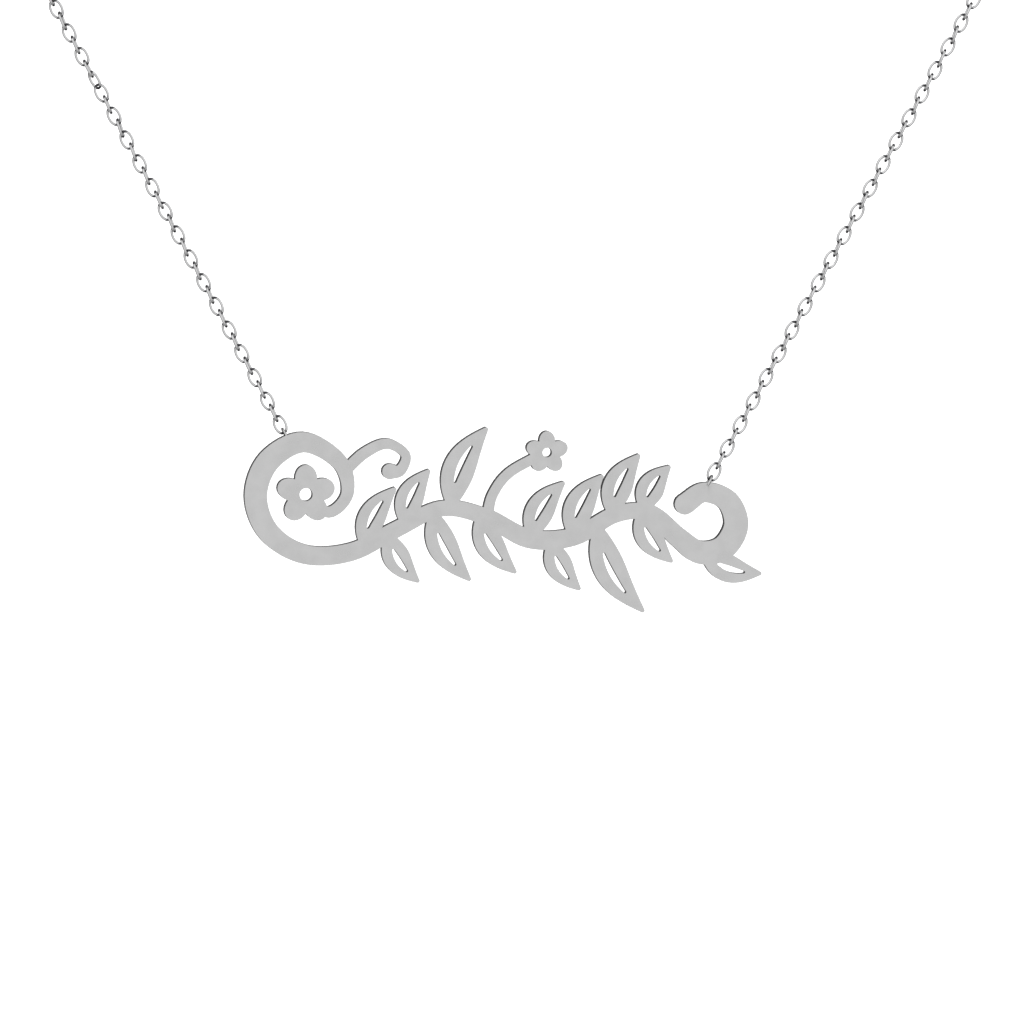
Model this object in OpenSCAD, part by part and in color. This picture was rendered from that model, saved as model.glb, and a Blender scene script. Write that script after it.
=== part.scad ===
// Necklace of fine cable chain with a pierced ornament plate hung from it by two
// soldered eyelets: a curling stem with leaves, tendrils and two blossoms.
// Millimetres. The origin is the clasp at the nape, the ornament hangs in front at -Y, +Z is up.

/* [Plate] */
// Width of the ornament plate, from edge to edge
plate_w = 40; // [34:1:48]
// Height of the band that the stem and most leaves fill
band_h = 6.5; // [5.5:0.25:8]
// Thickness of the plate
plate_t = 1; // [0.8:0.1:1.2]
// Width of the stem at its heaviest stretch
stem_w = 1.75; // [1.5:0.05:2]
// Width of a full leaf
leaf_w = 2.3; // [1.9:0.1:2.6]
// Width of the slit cut along each leaf
slit_w = 0.46; // [0.3:0.02:0.6]
// Diameter of the blossom
blossom_d = 4.6; // [4:0.1:5]
// Diameter of the hole in the middle of the blossom
blossom_hole = 1; // [0.6:0.1:1.4]
// Length of the eyelets soldered over the rim, outside
eyelet_len = 1.3; // [1.2:0.05:1.5]
// Width of the eyelets from front to back, outside
eyelet_w = 1.12; // [1.1:0.01:1.4]
// How far the eyelets stand above the rim
eyelet_rise = 0.64; // [0.6:0.01:0.7]

/* [Chain] */
// Length of one link, outside
link_len = 1.6; // [1.5:0.02:1.8]
// Width of one link, outside
link_w = 1.04; // [0.96:0.02:1.2]
// Diameter of the links' wire
wire_d = 0.2; // [0.16:0.01:0.22]
// Free way between two links that pull on each other
link_play = 0.14; // [0.1:0.01:0.2]
// Drop from the nape down to the foot of the band
plate_drop = 106; // [96:1:116]
// Distance from the nape forward to the plate
plate_reach = 98; // [92:1:104]
// Width of the loop where it is widest, over the shoulders
loop_w = 122; // [114:1:130]

/* [Clasp] */
// Outer diameter of the round clasp
clasp_d = 5.5; // [5:0.1:7]
// Diameter of the clasp's tube
clasp_tube = 1.1; // [0.9:0.1:1.3]
// Outer diameter of the clasp's small eyelet
clasp_eye_d = 2; // [1.8:0.1:2.4]
// Diameter of the wire of the clasp's small eyelet
clasp_eye_wire = 0.4; // [0.3:0.05:0.5]
// Outer diameter of the jump ring that hooks into the clasp
tag_d = 3.6; // [3.2:0.1:4.2]
// Diameter of the jump ring's wire
tag_wire = 0.5; // [0.4:0.05:0.6]

/* [Hidden] */

// Route of the chain, right half, from the nape over the shoulder to the front, from where it runs
// straight to the plate: share of half of loop_w, share of plate_reach, share of plate_drop.
ROUTE = [
    [0.328, 0.031, 0.009], [0.623, 0.122, 0.028], [0.869, 0.316, 0.066], [1.000, 0.561, 0.123],
    [0.984, 0.786, 0.198], [0.885, 0.939, 0.292], [0.759, 1.000, 0.406]
];
ROUTE_STEPS = 4;
STRAIGHT_STEPS = 8;
straight_share = 0.3;
tube_sides = 8;
end_gap = 0.12;
hook_gap = 0.15;
solder = 0.3;

// The ornament is drawn with strokes: a row of spine points, and a width at each of them.
// Stem, from the blossom outward: share of plate_w, share of band_h, share of stem_w.
STEM = [
    [0.119, 0.85, 0.50], [0.163, 0.64, 0.50], [0.199, 0.86, 0.55], [0.184, 1.23, 0.72],
    [0.114, 1.47, 0.90], [0.047, 1.25, 1.00], [0.022, 0.83, 1.00], [0.048, 0.40, 0.95],
    [0.118, 0.14, 0.85], [0.208, 0.17, 0.80], [0.296, 0.44, 0.72], [0.382, 0.68, 0.70],
    [0.467, 0.58, 0.75], [0.550, 0.32, 0.85], [0.638, 0.34, 0.80], [0.718, 0.60, 0.72],
    [0.785, 0.62, 0.75], [0.840, 0.33, 0.90], [0.882, 0.15, 1.02], [0.928, 0.20, 1.08],
    [0.953, 0.47, 1.08], [0.936, 0.76, 0.98], [0.890, 0.86, 0.88], [0.853, 0.72, 0.92]
];
// Stalks and tendrils, each from the stem to its end, in the same shares.
TENDRILS = [
    [[0.196, 1.14, 0.50], [0.232, 1.34, 0.50], [0.275, 1.45, 0.46], [0.311, 1.32, 0.42], [0.302, 1.14, 0.50],
        [0.281, 1.12, 0.70]],
    [[0.470, 0.58, 0.50], [0.480, 0.84, 0.45], [0.512, 1.10, 0.45], [0.578, 1.33, 0.45]]
];
CURVE_STEPS = 8;
// Leaves: place on the stem as a row number of STEM, direction in degrees, share of band_h, share of leaf_w.
LEAVES = [
    [ 9.25,  62, 0.78, 0.92], [10.15,  66, 0.70, 0.92], [11.20,  66, 1.02, 1.08],
    [13.05,  60, 0.76, 0.96], [13.95,  64, 0.80, 1.00],
    [14.90,  66, 0.78, 1.00], [15.80,  60, 0.60, 0.92],
    [ 9.80, -58, 0.66, 0.90], [10.80, -62, 0.92, 1.00], [11.85, -58, 0.80, 0.95],
    [13.50, -60, 0.66, 0.90], [14.55, -62, 1.16, 1.08], [15.70, -58, 0.70, 0.92],
    [18.15, -20, 0.72, 0.94]
];
LEAF_STEPS = 20;
leaf_bend = 0.1;
leaf_tip = 0.18;
slit_from = 0.28;
slit_to = 0.76;
// Blossoms: share of plate_w, share of band_h, share of blossom_d.
BLOSSOMS = [[0.119, 0.85, 1], [0.585, 1.34, 0.72]];
petals = 5;
petal_steps = 12;
petal_notch = 0.36;
cap_steps_per_mm = 12;
hole_sides = 32;
wire_sides = 32;
// Share of the plate that hangs left of the nape.
left_share = 0.519;
// How much narrower the left eyelet is, so that the plate hides it.
left_narrower = 0.16;
// How far the end links lean from the pull towards upright, in degrees.
link_lean = 4;
// Rows of STEM over which the two eyelets sit on the rim.
left_hang = 4.35;
right_hang = 21.82;

plate_left = -left_share * plate_w;
link_pitch = link_len - 2 * wire_d - link_play;
hook_pitch = link_pitch - (link_len - eyelet_len) / 2;

function reversed(list) = [for (i = [len(list) - 1 : -1 : 0]) list[i]];
function unit(v) = v / norm(v);
function mirrored(p) = [-p.x, p.y, p.z];
function on_route(row) = [row.x * loop_w / 2, -row.y * plate_reach, -row.z * plate_drop];
function turn_of(v) = atan2(v.y, v.x);

// Point at row number u of a list, on the smooth curve that runs through all its rows.
function on_curve(rows, u) =
    let (
        last = len(rows) - 1,
        i = min(floor(u), last - 1),
        t = u - i,
        before = i > 0 ? rows[i - 1] : 2 * rows[0] - rows[1],
        after = i + 2 <= last ? rows[i + 2] : 2 * rows[last] - rows[last - 1]
    )
    0.5 * (2 * rows[i] + (rows[i + 1] - before) * t
        + (2 * before - 5 * rows[i] + 4 * rows[i + 1] - after) * t * t
        + (3 * rows[i] - before - 3 * rows[i + 1] + after) * t * t * t);
function smooth(rows, steps) = [for (k = [0 : (len(rows) - 1) * steps]) on_curve(rows, k / steps)];
function heading(line, i) = unit(line[min(i + 1, len(line) - 1)] - line[max(i - 1, 0)]);

// Outline of a stroke of changing width with round ends.
function side_edge(line, w, side) =
    [for (i = [0 : len(line) - 1])
        let (h = heading(line, i)) line[i] + side * w[i] / 2 * [-h.y, h.x]];
function round_end(centre, r, from) =
    let (steps = max(3, ceil(r * cap_steps_per_mm)))
    [for (k = [1 : steps - 1])
        let (a = from - 180 * k / steps) centre + r * [cos(a), sin(a)]];
function stroke(line, w) =
    let (last = len(line) - 1)
    concat(
        side_edge(line, w, 1),
        round_end(line[last], w[last] / 2, turn_of(heading(line, last)) + 90),
        reversed(side_edge(line, w, -1)),
        round_end(line[0], w[0] / 2, turn_of(heading(line, 0)) - 90)
    );

function sized(row) = [row[0] * plate_w, row[1] * band_h, row[2] * stem_w];

module curved_stroke(rows) {
    fine = [for (row = smooth(rows, CURVE_STEPS)) sized(row)];
    polygon(stroke([for (row = fine) [row.x, row.y]], [for (row = fine) row.z]));
}

function leaf_spine(s, length) = [s * length, leaf_bend * length * sin(180 * s)];
function leaf_width(s, width) = leaf_tip * 2 + (width - leaf_tip * 2) * sin(180 * pow(s, 0.85));
function slit_width(s) = slit_w * (0.35 + 0.65 * sin(180 * (s - slit_from) / (slit_to - slit_from)));

module leaf_2d(leaf) {
    base = sized(on_curve(STEM, leaf[0]));
    length = leaf[2] * band_h;
    width = leaf[3] * leaf_w;
    bend_side = leaf[1] > 0 ? 1 : -1;
    shares = [for (k = [0 : LEAF_STEPS]) k / LEAF_STEPS];
    slit = [for (s = shares) if (s > slit_from && s < slit_to) s];
    translate([base.x, base.y])
        rotate(leaf[1])
            scale([1, bend_side])
                difference() {
                    polygon(stroke([for (s = shares) leaf_spine(s, length)], [for (s = shares) leaf_width(s, width)]));
                    polygon(stroke([for (s = slit) leaf_spine(s, length)], [for (s = slit) slit_width(s)]));
                }
}

module petals_2d(d) {
    steps = petals * petal_steps;
    polygon([for (k = [0 : steps - 1])
        let (a = 360 * k / steps, r = 1 - petal_notch * (1 - abs(cos(petals * a / 2))))
        d / 2 * r * [sin(a), cos(a)]]);
}

module at_blossoms() {
    for (row = BLOSSOMS)
        translate([row[0] * plate_w, row[1] * band_h])
            scale(row[2])
                children();
}

module ornament_2d() {
    difference() {
        union() {
            curved_stroke(STEM);
            for (rows = TENDRILS) curved_stroke(rows);
            for (leaf = LEAVES) leaf_2d(leaf);
            at_blossoms() petals_2d(blossom_d);
        }
        at_blossoms() circle(d = blossom_hole, $fn = hole_sides);
    }
}

// Point on the rim of the stem over row u, in the whole necklace's frame.
function rim_point(u) =
    let (
        here = sized(on_curve(STEM, u)),
        next = sized(on_curve(STEM, u + 0.01)),
        h = unit([next.x - here.x, next.y - here.y]),
        rim = [here.x, here.y] + here.z / 2 * [h.y, -h.x]
    )
    [plate_left + rim.x, -plate_reach, rim.y - plate_drop];
route = [for (row = ROUTE) on_route(row)];
front_point = route[len(route) - 1];
left_pull = unit(mirrored(front_point) - rim_point(left_hang));
right_pull = unit(front_point - rim_point(right_hang));
left_eyelet = rim_point(left_hang) + (eyelet_rise - eyelet_len / 2) * left_pull;
right_eyelet = rim_point(right_hang) + (eyelet_rise - eyelet_len / 2) * right_pull;
left_end = left_eyelet + hook_pitch * left_pull;
right_end = right_eyelet + hook_pitch * right_pull;

// One link in the XY plane, its length along X: two half rings and two straight sides.
module link(length, width) {
    end_r = (width - wire_d) / 2;
    straight = length - width;
    for (side = [-1, 1]) {
        translate([side * straight / 2, 0, 0])
            rotate(-90 * side)
                rotate_extrude(angle = 180)
                    translate([end_r, 0]) circle(d = wire_d, $fn = wire_sides);
        translate([-straight / 2, side * end_r, 0])
            rotate([0, 90, 0])
                cylinder(h = straight, d = wire_d, $fn = wire_sides);
    }
}
module at_pull(centre, pull, lean = 0) {
    translate(centre)
        rotate([0, lean - atan2(pull.z, pull.x), 0])
            children();
}

module nameplate() {
    color("silver") {
        translate([plate_left, plate_t / 2 - plate_reach, -plate_drop])
            rotate([90, 0, 0])
                linear_extrude(plate_t) ornament_2d();
        at_pull(left_eyelet, left_pull) link(eyelet_len, eyelet_w - left_narrower);
        at_pull(right_eyelet, right_pull) link(eyelet_len, eyelet_w);
    }
}

module end_link_left() {
    color("silver")
        at_pull(left_end, left_pull, link_lean)
            rotate([90, 0, 0])
                link(link_len, link_w);
}

module end_link_right() {
    color("silver")
        at_pull(right_end, right_pull, -link_lean)
            rotate([90, 0, 0])
                link(link_len, link_w);
}

// Chain: one round tube as wide as the links, along the route.
function half_route(start, end_link, pull) =
    let (
        low = end_link + (link_len / 2 + end_gap) * pull,
        bend = front_point + straight_share * (low - front_point),
        curve = smooth(concat([start], route, [bend, low]), ROUTE_STEPS),
        curved = [for (k = [0 : (len(route) + 1) * ROUTE_STEPS]) curve[k]]
    )
    concat(curved, [for (k = [1 : STRAIGHT_STEPS]) bend + k / STRAIGHT_STEPS * (low - bend)]);
function ring_at(line, i) =
    let (
        h = heading(line, i),
        out = line[i] + [0, plate_reach / 2, 0],
        across = unit(cross([out.x, out.y, 0], h)),
        up = cross(h, across)
    )
    [for (k = [0 : tube_sides - 1])
        let (a = 360 * (k + 0.5) / tube_sides) line[i] + link_w / 2 * (cos(a) * across + sin(a) * up)];

module tube(line) {
    rings = len(line);
    wall = [for (i = [0 : rings - 2], k = [0 : tube_sides - 1])
        let (a = i * tube_sides + k, b = i * tube_sides + (k + 1) % tube_sides)
        [a, a + tube_sides, b + tube_sides, b]];
    first = [for (k = [0 : tube_sides - 1]) k];
    final = [for (k = [tube_sides - 1 : -1 : 0]) (rings - 1) * tube_sides + k];
    polyhedron(
        points = [for (i = [0 : rings - 1]) each ring_at(line, i)],
        faces = concat(wall, [first, final]),
        convexity = 6
    );
}

tag_start = [tag_middle() + tag_d / 2 + end_gap, 0, 0];
eye_start = [clasp_d / 2 + clasp_eye_d - solder + end_gap, 0, 0];
right_line = half_route(tag_start, right_end, right_pull);
left_line = [for (p = half_route(eye_start, mirrored(left_end), mirrored(left_pull))) mirrored(p)];

module chain_left() {
    color("lightgray") tube(reversed(left_line));
}

module chain_right() {
    color("lightgray") tube(right_line);
}

module torus(d, wire) {
    rotate_extrude($fn = 96)
        translate([(d - wire) / 2, 0]) circle(d = wire, $fn = wire_sides);
}

// Closed round clasp with a small eyelet soldered to its left side, upright at the nape.
module clasp() {
    color("gainsboro")
        rotate([90, 0, 0]) {
            torus(clasp_d, clasp_tube);
            translate([solder - (clasp_d + clasp_eye_d) / 2, 0, 0]) torus(clasp_eye_d, clasp_eye_wire);
        }
}

// Jump ring that lies flat and hooks round the clasp's tube.
function tag_middle() = clasp_d / 2 - clasp_tube - hook_gap + tag_d / 2 - tag_wire;
module tag_ring() {
    color("silver") translate([tag_middle(), 0, 0]) torus(tag_d, tag_wire);
}

nameplate();
end_link_left();
end_link_right();
chain_left();
chain_right();
clasp();
tag_ring();
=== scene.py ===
"""Looks of the necklace: cable chain, pierced ornament plate, clasp, studio light and camera."""

import math
import random

import bpy
import numpy as np
from mathutils import Matrix, Quaternion, Vector


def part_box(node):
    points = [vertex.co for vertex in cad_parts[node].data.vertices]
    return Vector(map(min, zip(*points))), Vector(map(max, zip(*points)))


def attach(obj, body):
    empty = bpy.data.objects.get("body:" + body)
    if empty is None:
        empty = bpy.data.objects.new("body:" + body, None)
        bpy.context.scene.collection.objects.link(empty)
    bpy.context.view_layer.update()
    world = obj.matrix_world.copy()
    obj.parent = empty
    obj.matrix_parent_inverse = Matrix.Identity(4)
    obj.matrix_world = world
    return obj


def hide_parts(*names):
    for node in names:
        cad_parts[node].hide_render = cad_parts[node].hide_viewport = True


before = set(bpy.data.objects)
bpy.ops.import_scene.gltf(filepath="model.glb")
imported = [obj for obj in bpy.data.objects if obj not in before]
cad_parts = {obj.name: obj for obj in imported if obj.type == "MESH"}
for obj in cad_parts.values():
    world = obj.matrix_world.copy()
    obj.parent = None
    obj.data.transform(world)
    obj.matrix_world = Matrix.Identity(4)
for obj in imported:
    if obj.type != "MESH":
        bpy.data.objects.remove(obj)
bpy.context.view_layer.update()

MM = 0.001
FRONT = Vector((0, -1, 0))
UP = Vector((0, 0, 1))
# Sides of the necklace, as the sign of X.
LEFT = -1
RIGHT = 1

# The photograph's view: the middle of its frame lies on the plate's plane. Only the sensor's width
# is in plain millimetres.
LOOK_AT = Vector((0, -98, -101.9)) * MM
AZIMUTH_DEG = -7
ELEVATION_DEG = 4
ROLL_DEG = 0.3
DISTANCE = 1200 * MM
FRAME_WIDTH = 78.8 * MM
SENSOR_WIDTH = 36
CLIP_START = 10 * MM

# Links of the chain. Their length and wire are the source's. Their width and play are 0.02 mm more,
# as the spacing of the photograph's links shows.
LINK_LENGTH = 1.6 * MM
LINK_WIDTH = 1.06 * MM
WIRE = 0.2 * MM
LINK_PLAY = 0.16 * MM
LINK_PITCH = LINK_LENGTH - 2 * WIRE - LINK_PLAY
LINK_RINGS = 28
WIRE_SIDES = 14
# Links a little squarer than an ellipse, which has power 1.
LINK_POWER = 0.95

# Route of the right half, as in the source: from the nape over the shoulder to the front, in shares
# of half the loop's width, of its reach and of its drop.
ROUTE = [
    (0.328, 0.031, 0.009), (0.623, 0.122, 0.028), (0.869, 0.316, 0.066), (1.000, 0.561, 0.123),
    (0.984, 0.786, 0.198), (0.885, 0.939, 0.292), (0.759, 1.000, 0.406),
]
LOOP_HALF_WIDTH = 61 * MM
PLATE_REACH = 98 * MM
PLATE_DROP = 106 * MM
STRAIGHT_SHARE = 0.3
ROUTE_STEPS = 24

# How far the links of either side lean from their pull towards upright: those that face the viewer,
# and those seen edge-on. The links of the kink and the last ones don't lean. The end links lean as
# in the source.
LEANS_DEG = {LEFT: (3, 5), RIGHT: (2, 4)}
END_LEAN_DEG = 4
# Every link is turned by a quarter from the one before. The left half is turned a little as a whole,
# and has a kink, where each of these links adds its share of a quarter, and the first two are drawn
# apart.
QUARTER_DEG = 90
TURNS_DEG = {LEFT: -13, RIGHT: 0}
KINK_TURNS = {28: 20, 29: 30, 30: 40}
KINK_SHIFTS = {28: -0.05 * MM, 29: 0.05 * MM}
# From this link on the chain is out of the photograph, and turns slowly to suit its hook.
HIDDEN_LINK = 60
# Small random turns and leans of the links, and their shifts along the chain.
JITTER_DEG = 1.8
JITTER = 0.02 * MM
JITTER_SEED = 7

# Wires of the two rings that the last links hook into, and the play there.
CLASP_EYE_WIRE = 0.4 * MM
TAG_WIRE = 0.5 * MM
HOOK_PLAY = 0.05 * MM

# The plate's metal: the two greys of its mottled face, the grey of its cut walls, and the tint at a
# low angle. The walls are smoother than the face.
FACE_GREY = (0.562, 0.562, 0.562)
FACE_GREY_LOW = (0.523, 0.523, 0.523)
CUT_GREY = (0.35, 0.35, 0.35)
GRAZING_TINT = (0.1, 0.1, 0.1, 1)
FACE_ROUGHNESS = (0.27, 0.33)
CUT_SMOOTHER = 0.07
MOTTLE_SCALE = 900
MOTTLE_SPREAD = (0.35, 0.65)
# How far a surface looks to the front or back: up to the first it is wall, from the second on face.
FACE_LIMITS = (0.55, 0.9)

# The wire's metal: two greys of silver, and painted shade near the bends, where the links meet and shade
# each other.
WIRE_GREY = (0.625, 0.625, 0.63)
WIRE_GREY_LOW = (0.565, 0.565, 0.57)
PAINTED_SHADE_GREY = (0.06, 0.06, 0.065)
WIRE_ROUGHNESS = (0.22, 0.3)
WIRE_CLOUD_SCALE = 700
WIRE_ROUGH_SCALE = 3000
# The painted shade begins where the cosine of the angle round the link, without its sign, passes
# the limit of the wire's inner or outer side. It is full a little further on.
PAINTED_SHADE_INNER = 0.9
PAINTED_SHADE_OUTER = 0.75
PAINTED_SHADE_BLEND = 0.06

# The metal of the clasp and its jump ring.
RING_GREY = (0.74, 0.74, 0.75)
RING_GREY_LOW = (0.64, 0.64, 0.65)
RING_ROUGHNESS = (0.15, 0.24)
RING_CLOUD_SCALE = 500

# Most of a noise lies in this spread.
NOISE_SPREAD = (0.3, 0.7)
# Grain of the metals: scale and detail of its noise, depth and strength of its bumps.
PLATE_GRAIN = (14000, 2.0, 0.004 * MM, 0.6)
WIRE_GRAIN = (9000, 3.0, 0.003 * MM, 0.5)
RING_GRAIN = (6000, 3.0, 0.004 * MM, 0.5)

# The plate's rims stay sharp from the first angle on, and get a small bevel from the second on.
RIM_DEG = 40
BEVEL_DEG = 60
BEVEL_WIDTH = 0.018 * MM
BEVEL_SEGMENTS = 2
WELD_DISTANCE = 0.0005 * MM

# The cove, in metres: a flat floor, a quarter round and a wall. Its paper glows brighter than white,
# as a light tent's does, which bleaches the rims of thin wire.
COVE_FLOOR = -0.3
COVE_FLAT = 3.9
COVE_ROUND = 2.1
COVE_HEIGHT = 6.0
COVE_STEPS = 15
COVE_SECTORS = 64
PAPER_GLOW = 1.5

# The tent's light, by how far its place is to the front or back, and how high: it is dim up to the
# first limit and full from the second on.
TENT_DIM = 0.35
TENT_DEPTHS = (0.35, 0.8)
TENT_HEIGHTS = (0.5, 0.9)

# The softboxes: name, place in metres, and power in watts.
SOFTBOX_SIZE = 0.6
SOFTBOXES = [("key", (-0.5, -0.7, 0.45), 1.3), ("fill", (0.7, -0.4, 0.2), 1.0)]


def node_material(name):
    """A new material with its tree and shader."""
    material = bpy.data.materials.new(name)
    material.use_nodes = True
    tree = material.node_tree
    return material, tree, tree.nodes["Principled BSDF"]


def metal_material(name):
    """A new material of bare metal, with its tree, its shader and the coordinates on the object."""
    material, tree, shader = node_material(name)
    shader.inputs["Metallic"].default_value = 1.0
    return material, tree, shader, tree.nodes.new("ShaderNodeTexCoord").outputs


def add_node(tree, kind, **values):
    """A node of that kind, with its inputs or settings given by name."""
    node = tree.nodes.new(kind)
    for name, value in values.items():
        if name in node.inputs:
            node.inputs[name].default_value = value
        else:
            setattr(node, name, value)
    return node


def noise(tree, coordinates, scale, detail=3.0):
    node = add_node(tree, "ShaderNodeTexNoise", Scale=scale, Detail=detail)
    tree.links.new(coordinates, node.inputs["Vector"])
    return node.outputs["Fac"]


def mapped(tree, value, limits, results=(0.0, 1.0)):
    """The value's stretch between two limits laid on two results, and held there outside it."""
    node = tree.nodes.new("ShaderNodeMapRange")
    tree.links.new(value, node.inputs["Value"])
    for name, number in zip(("From Min", "From Max", "To Min", "To Max"), (*limits, *results)):
        node.inputs[name].default_value = number
    return node.outputs["Result"]


def maths(tree, operation, first, second=None):
    node = add_node(tree, "ShaderNodeMath", operation=operation)
    for socket, value in zip(node.inputs, (first, second)):
        if isinstance(value, (int, float)):
            socket.default_value = value
        elif value is not None:
            tree.links.new(value, socket)
    return node.outputs[0]


def mixed(tree, share, first, second):
    """Colour between two, by a share."""
    node = add_node(tree, "ShaderNodeMix", data_type="RGBA")
    tree.links.new(share, node.inputs["Factor"])
    for socket, colour in ((node.inputs[6], first), (node.inputs[7], second)):
        if isinstance(colour, tuple):
            socket.default_value = (*colour, 1)
        else:
            tree.links.new(colour, socket)
    return node.outputs[2]


def round_share(tree, share):
    """Cosine of the angle that a share of a whole round stands for."""
    return maths(tree, "COSINE", maths(tree, "MULTIPLY", share, math.tau))


def grain(tree, shader, place, scale, detail, depth, strength):
    """Fine bumps all over the metal."""
    node = add_node(tree, "ShaderNodeBump", Distance=depth, Strength=strength)
    tree.links.new(noise(tree, place, scale, detail), node.inputs["Height"])
    tree.links.new(node.outputs["Normal"], shader.inputs["Normal"])


def plate_metal():
    """Satin face with a faint mottle; the cut walls are darker and a little smoother."""
    material, tree, shader, coordinates = metal_material("plate_metal")
    normal = tree.nodes.new("ShaderNodeSeparateXYZ")
    tree.links.new(coordinates["Normal"], normal.inputs[0])
    face = mapped(tree, maths(tree, "ABSOLUTE", normal.outputs["Y"]), FACE_LIMITS)
    mottle = noise(tree, coordinates["Object"], MOTTLE_SCALE, 4.0)
    grey = mixed(tree, mapped(tree, mottle, MOTTLE_SPREAD), FACE_GREY_LOW, FACE_GREY)
    tree.links.new(mixed(tree, face, CUT_GREY, grey), shader.inputs["Base Color"])
    shader.inputs["Specular Tint"].default_value = GRAZING_TINT
    smoother = mapped(tree, face, (0, 1), (CUT_SMOOTHER, 0))
    rough = maths(tree, "SUBTRACT", mapped(tree, mottle, NOISE_SPREAD, FACE_ROUGHNESS), smoother)
    tree.links.new(rough, shader.inputs["Roughness"])
    grain(tree, shader, coordinates["Object"], *PLATE_GRAIN)
    return material


def wire_metal():
    """Polished silver wire, with painted shade near the bends, where the links meet and shade each other.
    """
    material, tree, shader, coordinates = metal_material("wire_metal")
    shares = tree.nodes.new("ShaderNodeSeparateXYZ")
    tree.links.new(coordinates["UV"], shares.inputs[0])
    to_bend = maths(tree, "ABSOLUTE", round_share(tree, shares.outputs["X"]))
    # The painted shade reaches further from the bend on the wire's outer side than on its inner one.
    edge = mapped(tree, round_share(tree, shares.outputs["Y"]), (-0.5, 0.5), (PAINTED_SHADE_INNER, PAINTED_SHADE_OUTER))
    painted_shade = mapped(tree, maths(tree, "SUBTRACT", to_bend, edge), (0, PAINTED_SHADE_BLEND))
    cloud = mapped(tree, noise(tree, coordinates["Object"], WIRE_CLOUD_SCALE), NOISE_SPREAD)
    silver = mixed(tree, cloud, WIRE_GREY_LOW, WIRE_GREY)
    # Painted shade: near the bends the silver is mixed towards a dark grey.
    tree.links.new(mixed(tree, painted_shade, silver, PAINTED_SHADE_GREY), shader.inputs["Base Color"])
    haze = noise(tree, coordinates["Object"], WIRE_ROUGH_SCALE)
    tree.links.new(mapped(tree, haze, NOISE_SPREAD, WIRE_ROUGHNESS), shader.inputs["Roughness"])
    grain(tree, shader, coordinates["Object"], *WIRE_GRAIN)
    return material


def ring_metal():
    """Polished silver of the clasp and its jump ring."""
    material, tree, shader, coordinates = metal_material("ring_metal")
    cloud = noise(tree, coordinates["Object"], RING_CLOUD_SCALE, 4.0)
    grey = mixed(tree, mapped(tree, cloud, NOISE_SPREAD), RING_GREY_LOW, RING_GREY)
    tree.links.new(grey, shader.inputs["Base Color"])
    tree.links.new(mapped(tree, cloud, NOISE_SPREAD, RING_ROUGHNESS), shader.inputs["Roughness"])
    grain(tree, shader, coordinates["Object"], *RING_GRAIN)
    return material


def on_curve(rows, u):
    """Point at row number u, on the smooth curve through all the rows."""
    last = len(rows) - 1
    i = min(int(u), last - 1)
    t = u - i
    before = rows[i - 1] if i else 2 * rows[0] - rows[1]
    after = rows[i + 2] if i + 2 <= last else 2 * rows[last] - rows[last - 1]
    here, following = rows[i], rows[i + 1]
    return 0.5 * (
        2 * here
        + (following - before) * t
        + (2 * before - 5 * here + 4 * following - after) * t * t
        + (3 * here - before - 3 * following + after) * t * t * t
    )


def link_shape():
    """One oval link along X, flat in XY: its points, its faces, and each point's shares of the way
    round the link and round its wire."""
    half_length = (LINK_LENGTH - WIRE) / 2
    half_width = (LINK_WIDTH - WIRE) / 2
    centres = []
    for row in range(LINK_RINGS):
        angle = math.tau * row / LINK_RINGS
        c, s = math.cos(angle), math.sin(angle)
        centres.append(Vector((half_length * math.copysign(abs(c) ** LINK_POWER, c),
                               half_width * math.copysign(abs(s) ** LINK_POWER, s), 0)))
    points, faces, shares = [], [], []
    for row in range(LINK_RINGS):
        next_row = (row + 1) % LINK_RINGS
        along = (centres[next_row] - centres[row - 1]).normalized()
        outward = Vector((along.y, -along.x, 0))
        for k in range(WIRE_SIDES):
            next_k = (k + 1) % WIRE_SIDES
            angle = math.tau * k / WIRE_SIDES
            points.append(centres[row] + WIRE / 2 * (math.cos(angle) * outward + math.sin(angle) * UP))
            shares.append((row / LINK_RINGS, k / WIRE_SIDES))
            corners = ((row, k), (next_row, k), (next_row, next_k), (row, next_k))
            faces.append([i * WIRE_SIDES + j for i, j in corners])
    return np.array(points), np.array(faces), np.array(shares)


def corner_shares(faces, shares):
    """The shares at every corner of the faces. Where a round closes, they are a whole one."""
    corners = shares[faces.ravel()].reshape(-1, 4, 2)
    for axis in (0, 1):
        wrap = (corners[:, :, axis].max(1, keepdims=True) - corners[:, :, axis]) > 0.5
        corners[:, :, axis][wrap] += 1
    return corners.reshape(-1, 2)


def links_object(name, placings, material, body, node):
    """Joins one link for each placing, a 4x4 matrix, and lets it stand for a node."""
    points, faces, shares = link_shape()
    all_points = [points @ np.array(m.to_3x3()).T + np.array(m.translation) for m in placings]
    all_faces = [faces + len(points) * n for n in range(len(placings))]
    mesh = bpy.data.meshes.new(name)
    mesh.from_pydata(np.concatenate(all_points).tolist(), [], np.concatenate(all_faces).tolist())
    corners = np.tile(corner_shares(faces, shares), (len(placings), 1))
    mesh.uv_layers.new(name="link").data.foreach_set("uv", corners.ravel())
    mesh.shade_smooth()
    mesh.materials.append(material)
    obj = bpy.data.objects.new(name, mesh)
    bpy.context.scene.collection.objects.link(obj)
    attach(obj, body)
    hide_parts(node)


def placing(centre, along, normal):
    """Matrix that lays a link with its length along one direction and its flat side square to another."""
    along = along.normalized()
    normal = (normal - normal.dot(along) * along).normalized()
    across = normal.cross(along)
    turn = Matrix((along, across, normal)).transposed()
    return Matrix.Translation(centre) @ turn.to_4x4()


def middle(node):
    low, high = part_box(node)
    return (low + high) / 2


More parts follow.
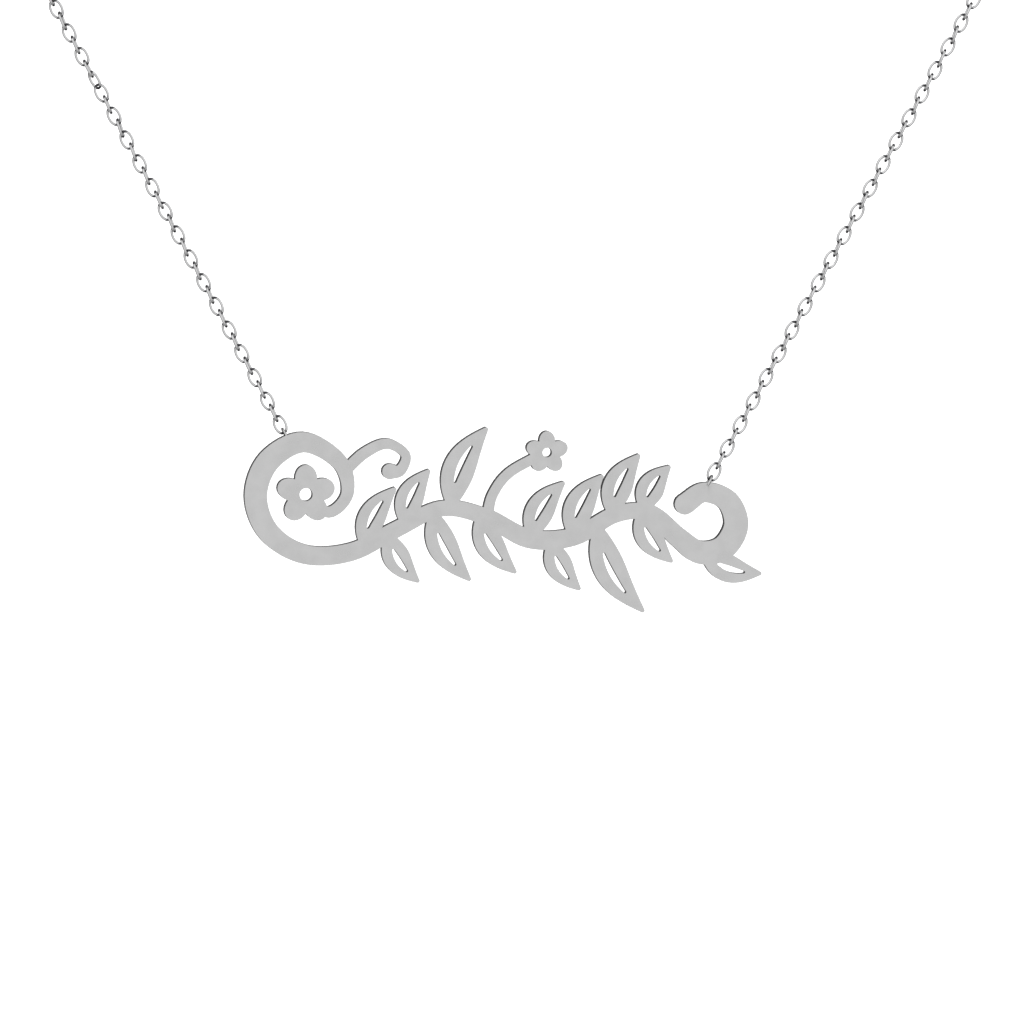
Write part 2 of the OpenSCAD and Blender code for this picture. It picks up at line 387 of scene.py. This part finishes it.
def link_places(side, end, hook):
    """Evenly spaced places of one half's links, from the end link up to the hook."""
    route = [Vector((side * x * LOOP_HALF_WIDTH, -y * PLATE_REACH, -z * PLATE_DROP)) for x, y, z in ROUTE]
    low = end + LINK_LENGTH / 2 * (route[-1] - end).normalized()
    bend = route[-1].lerp(low, STRAIGHT_SHARE)
    rows = [hook] + route + [bend, end]
    steps = (len(rows) - 2) * ROUTE_STEPS
    fine = [on_curve(rows, k / ROUTE_STEPS) for k in range(steps + 1)] + [end]
    fine = np.array(fine[::-1])
    marks = np.concatenate([[0], np.cumsum(np.linalg.norm(np.diff(fine, axis=0), axis=1))])
    spots = np.linspace(0, marks[-1], round(marks[-1] / LINK_PITCH) + 1)
    return [Vector([np.interp(spot, marks, fine[:, k]) for k in range(3)]) for spot in spots]


def ways_and_normals(places):
    """The chain's direction at each place, and a normal that starts at the front and doesn't twist."""
    last = len(places) - 1
    ways, normals = [], []
    normal = FRONT
    for i in range(last + 1):
        way = (places[min(i + 1, last)] - places[max(i - 1, 0)]).normalized()
        normal = (normal - normal.dot(way) * way).normalized()
        ways.append(way)
        normals.append(normal)
    return ways, normals


def missing_turn(way, normal, hook_normal, turn):
    """What a turn in degrees still lacks at the hook, as less than a quarter either way."""
    wanted = math.degrees(math.atan2(normal.cross(hook_normal).dot(way), normal.dot(hook_normal)))
    return (wanted - turn + QUARTER_DEG) % (2 * QUARTER_DEG) - QUARTER_DEG


def half_chain(side, end_node, hook, hook_normal):
    """Placings of the links of one half, from the end link up to the hook."""
    places = link_places(side, middle(end_node), hook)
    ways, normals = ways_and_normals(places)
    last = len(places) - 1
    kinks = KINK_TURNS if side == LEFT else {}
    full_turn = QUARTER_DEG * last + TURNS_DEG[side] + sum(kinks.values())
    missing = missing_turn(ways[last], normals[last], hook_normal, full_turn)
    facing_lean, edge_lean = LEANS_DEG[side]
    placings = []
    for i, (place, way, normal) in enumerate(zip(places, ways, normals)):
        turn = QUARTER_DEG * i + TURNS_DEG[side] + sum(share for link, share in kinks.items() if i >= link)
        turn += missing * max(i - HIDDEN_LINK, 0) / (last - HIDDEN_LINK)
        lean = side * (facing_lean + (edge_lean - facing_lean) * abs(math.sin(math.radians(turn))))
        shift = 0
        if i == 0:
            turn = 0
            lean = side * END_LEAN_DEG
        elif i in kinks:
            lean = 0
            shift = KINK_SHIFTS.get(i, 0)
        elif i < last:
            turn += random.gauss(0, JITTER_DEG)
            lean += random.gauss(0, JITTER_DEG)
            shift = random.uniform(-1, 1) * JITTER
        else:
            lean = 0
        leaning = Matrix.Rotation(math.radians(lean), 3, normal)
        turned = Matrix.Rotation(math.radians(turn), 3, way) @ normal
        placings.append(placing(place + shift * way, leaning @ way, turned))
    return placings


def smoothing():
    """Node group that shades a many-sided wall as one round, and keeps the rims sharp."""
    tree = bpy.data.node_groups.new("smooth_walls", "GeometryNodeTree")
    for way in ("INPUT", "OUTPUT"):
        tree.interface.new_socket("Geometry", in_out=way, socket_type="NodeSocketGeometry")
    start, end = tree.nodes.new("NodeGroupInput"), tree.nodes.new("NodeGroupOutput")
    plain = add_node(tree, "GeometryNodeRemoveAttribute", Name="custom_normal")
    round_faces = add_node(tree, "GeometryNodeSetShadeSmooth", domain="FACE")
    sharp_rims = add_node(tree, "GeometryNodeSetShadeSmooth", domain="EDGE")
    angle = tree.nodes.new("GeometryNodeInputMeshEdgeAngle").outputs["Unsigned Angle"]
    smooth = maths(tree, "LESS_THAN", angle, math.radians(RIM_DEG))
    tree.links.new(smooth, sharp_rims.inputs["Shade Smooth"])
    steps = [start, plain, round_faces, sharp_rims, end]
    for first, second in zip(steps, steps[1:]):
        tree.links.new(first.outputs[0], second.inputs[0])
    return tree


def soften_plate(plate):
    """Shades the plate's walls as rounds, and gives its rims a small polished bevel."""
    weld = plate.modifiers.new("weld", "WELD")
    weld.merge_threshold = WELD_DISTANCE
    plate.modifiers.new("smooth", "NODES").node_group = smoothing()
    bevel = plate.modifiers.new("edge", "BEVEL")
    bevel.width = BEVEL_WIDTH
    bevel.segments = BEVEL_SEGMENTS
    bevel.limit_method = "ANGLE"
    bevel.angle_limit = math.radians(BEVEL_DEG)
    bevel.use_clamp_overlap = False
    bevel.harden_normals = True


def cove_paper():
    """Paper that glows the same all over, and shows no light or shadow that falls on it."""
    material, tree, shader = node_material("cove_paper")
    glow = add_node(tree, "ShaderNodeEmission", Strength=PAPER_GLOW)
    tree.links.new(glow.outputs["Emission"], tree.nodes["Material Output"].inputs["Surface"])
    tree.nodes.remove(shader)
    return material


def white_cove():
    """Pale floor that rises all round into a wall. The metal doesn't mirror it, and it casts no
    shadow from the tent's light."""
    bends = [math.radians(90 * step / COVE_STEPS) for step in range(COVE_STEPS + 1)]
    profile = [(COVE_FLAT + COVE_ROUND * math.sin(a), COVE_ROUND * (1 - math.cos(a))) for a in bends]
    profile.append((COVE_FLAT + COVE_ROUND, COVE_HEIGHT))
    spokes = [math.tau * k / COVE_SECTORS for k in range(COVE_SECTORS)]
    points = [(0, 0, COVE_FLOOR)]
    for radius, height in profile:
        points += [(radius * math.cos(a), radius * math.sin(a), COVE_FLOOR + height) for a in spokes]
    sectors = [(k, (k + 1) % COVE_SECTORS) for k in range(COVE_SECTORS)]
    faces = [(0, 1 + k, 1 + next_k) for k, next_k in sectors]
    for row in range(len(profile) - 1):
        low = 1 + row * COVE_SECTORS
        high = low + COVE_SECTORS
        faces += [(low + k, high + k, high + next_k, low + next_k) for k, next_k in sectors]
    mesh = bpy.data.meshes.new("cove")
    mesh.from_pydata(points, [], faces)
    mesh.shade_smooth()
    mesh.materials.append(cove_paper())
    cove = bpy.data.objects.new("cove", mesh)
    bpy.context.scene.collection.objects.link(cove)
    cove.visible_glossy = False
    cove.visible_shadow = False


def studio_world():
    """Light tent: white before and behind, dimmer at the sides, with a bright ceiling."""
    world = bpy.data.worlds.new("tent")
    bpy.context.scene.world = world
    world.use_nodes = True
    tree = world.node_tree
    background = tree.nodes["Background"]
    parts = tree.nodes.new("ShaderNodeSeparateXYZ")
    tree.links.new(tree.nodes.new("ShaderNodeTexCoord").outputs["Generated"], parts.inputs[0])
    ends = mapped(tree, maths(tree, "ABSOLUTE", parts.outputs["Y"]), TENT_DEPTHS, (TENT_DIM, 1.0))
    ceiling = mapped(tree, parts.outputs["Z"], TENT_HEIGHTS)
    tree.links.new(maths(tree, "MAXIMUM", ends, ceiling), background.inputs["Strength"])
    background.inputs["Color"].default_value = (1, 1, 1, 1)


def softbox(name, place, power):
    """Square area light, turned to the middle of the photograph's view."""
    light = bpy.data.lights.new(name, "AREA")
    light.size = SOFTBOX_SIZE
    light.energy = power
    obj = bpy.data.objects.new(name, light)
    obj.location = place
    obj.rotation_euler = (LOOK_AT - Vector(place)).to_track_quat("-Z", "Y").to_euler()
    bpy.context.scene.collection.objects.link(obj)


def photo_camera():
    """Camera at the photograph's angle, rolled a little as the photograph is."""
    lens = bpy.data.cameras.new("camera")
    lens.sensor_width = SENSOR_WIDTH
    lens.lens = SENSOR_WIDTH * DISTANCE / FRAME_WIDTH
    lens.clip_start = CLIP_START
    camera = bpy.data.objects.new("camera", lens)
    bpy.context.scene.collection.objects.link(camera)
    azimuth, elevation = math.radians(AZIMUTH_DEG), math.radians(ELEVATION_DEG)
    level_reach = math.cos(elevation)
    camera.location = LOOK_AT + DISTANCE * Vector((
        math.sin(azimuth) * level_reach, -math.cos(azimuth) * level_reach, math.sin(elevation)))
    level = (LOOK_AT - camera.location).to_track_quat("-Z", "Y")
    camera.rotation_euler = (level @ Quaternion((0, 0, 1), math.radians(ROLL_DEG))).to_euler()
    bpy.context.scene.camera = camera


random.seed(JITTER_SEED)

wire = wire_metal()
ring = ring_metal()
plate = plate_metal()

clasp_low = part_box("clasp")[0]
tag_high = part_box("tag_ring")[1]
left_hook = Vector((clasp_low.x + CLASP_EYE_WIRE + HOOK_PLAY - LINK_LENGTH / 2, 0, 0))
right_hook = Vector((tag_high.x - TAG_WIRE - HOOK_PLAY + LINK_LENGTH / 2, 0, 0))

for side, word, hook, hook_normal in ((LEFT, "left", left_hook, UP), (RIGHT, "right", right_hook, FRONT)):
    placings = half_chain(side, "end_link_" + word, hook, hook_normal)
    links_object("link_end_" + word, placings[:1], wire, "chain", "end_link_" + word)
    links_object("links_" + word, placings[1:], wire, "chain", "chain_" + word)

for name, material in (("nameplate", plate), ("clasp", ring), ("tag_ring", ring)):
    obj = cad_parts[name]
    obj.data.materials.clear()
    obj.data.materials.append(material)
soften_plate(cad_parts["nameplate"])

white_cove()
studio_world()
for name, place, power in SOFTBOXES:
    softbox(name, place, power)
photo_camera()
bpy.context.scene.view_settings.view_transform = "Standard"
